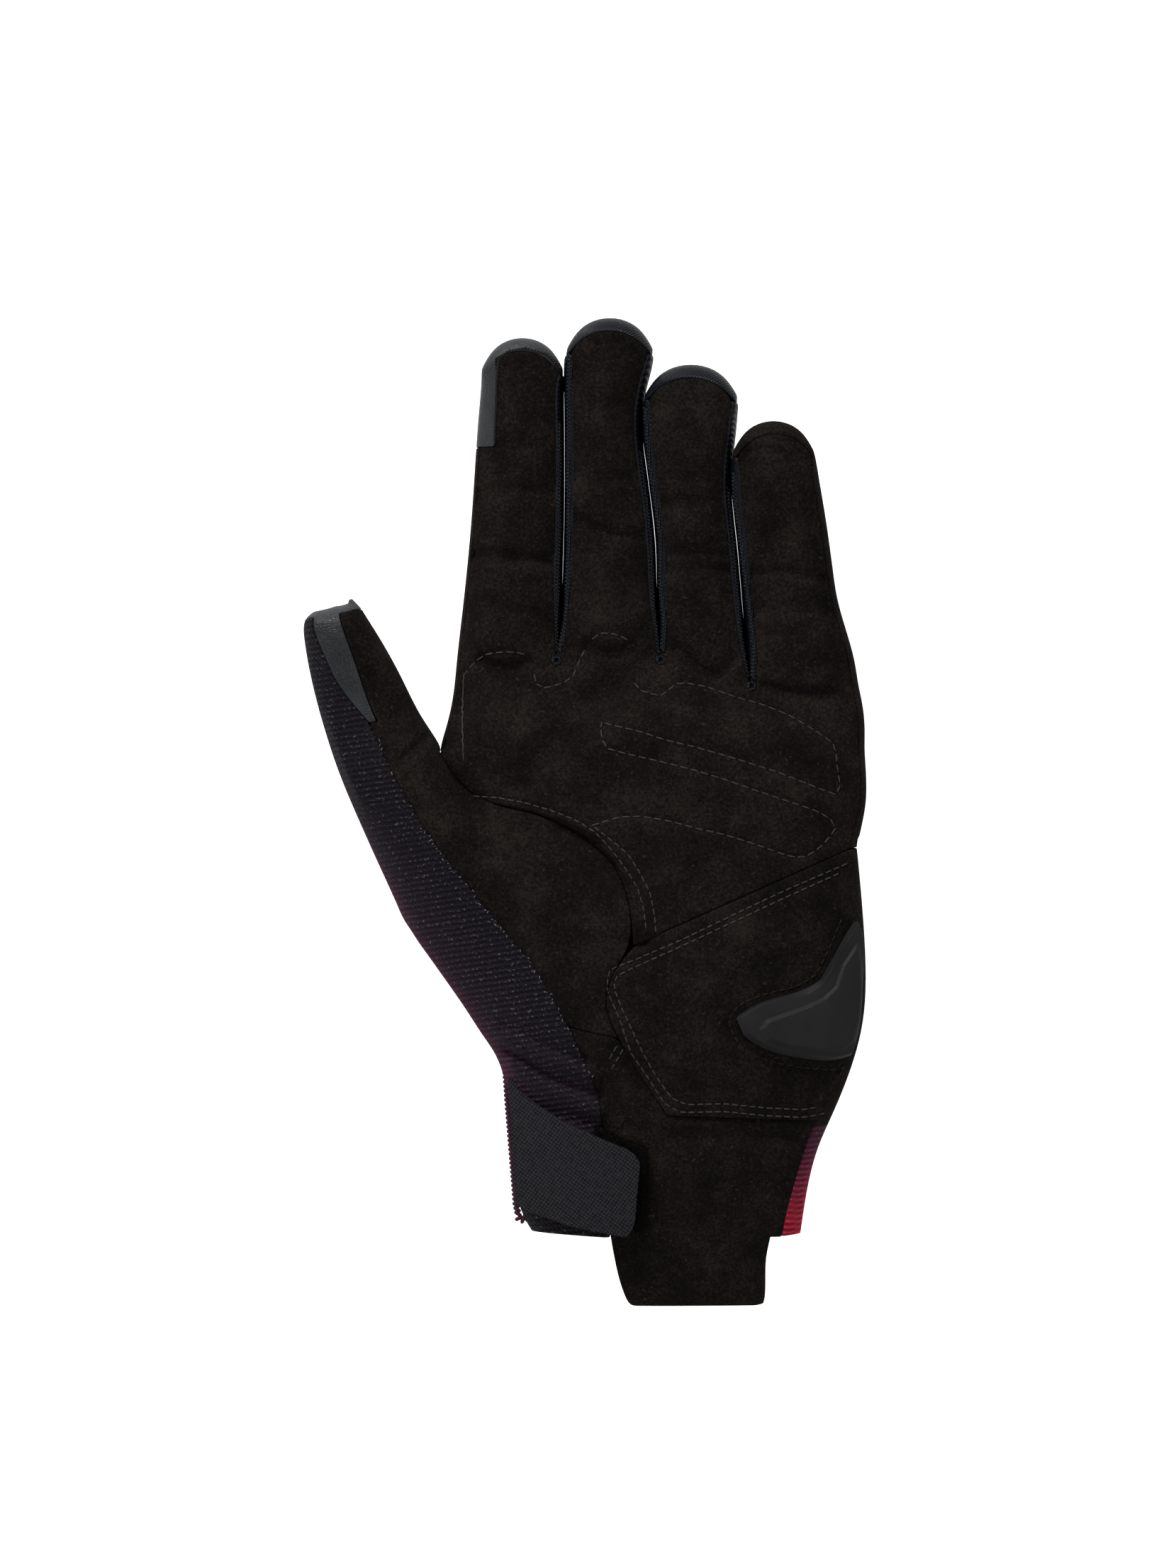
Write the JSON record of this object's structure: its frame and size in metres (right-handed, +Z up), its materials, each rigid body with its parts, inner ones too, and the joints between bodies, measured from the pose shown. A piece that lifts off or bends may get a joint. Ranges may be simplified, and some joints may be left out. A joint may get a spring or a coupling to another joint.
{
  "type": "motorcycle riding glove",
  "caption": "Left-hand short-cuff riding glove in suede and rib knit, lying on its back with the palm up, with a palm slider and a wrist strap",
  "frame": {"origin": "the middle of the glove's box on the surface that it lies on", "axes": "+Y from the cuff to the fingertips, +X from the thumb to the little finger, +Z up out of the palm"},
  "size_m": [0.1436, 0.2508, 0.0356],
  "materials": {
    "suede": "matte",
    "grained_leather": "satin",
    "satin_fabric": "satin",
    "rib_knit": "matte",
    "moulded_slider": "matte",
    "fastening_pad": "matte",
    "strap_fabric": "matte"
  },
  "bodies": {
    "root": {"palm_panel": "suede", "thumb_panel": "suede", "heel_patch": "suede", "wrist_panel": "suede", "index_side": "suede", "little_side": "suede", "index_tip_patch": "grained_leather", "thumb_tip_patch": "grained_leather", "middle_tip": "satin_fabric", "ring_tip": "satin_fabric", "fourchette_index_middle": "satin_fabric", "fourchette_middle_ring": "satin_fabric", "fourchette_ring_little": "satin_fabric", "back_panel": "rib_knit", "thumb_back": "rib_knit", "palm_slider": "moulded_slider", "loop_pad": "fastening_pad", "strap": "strap_fabric"}
  },
  "joints": []
}
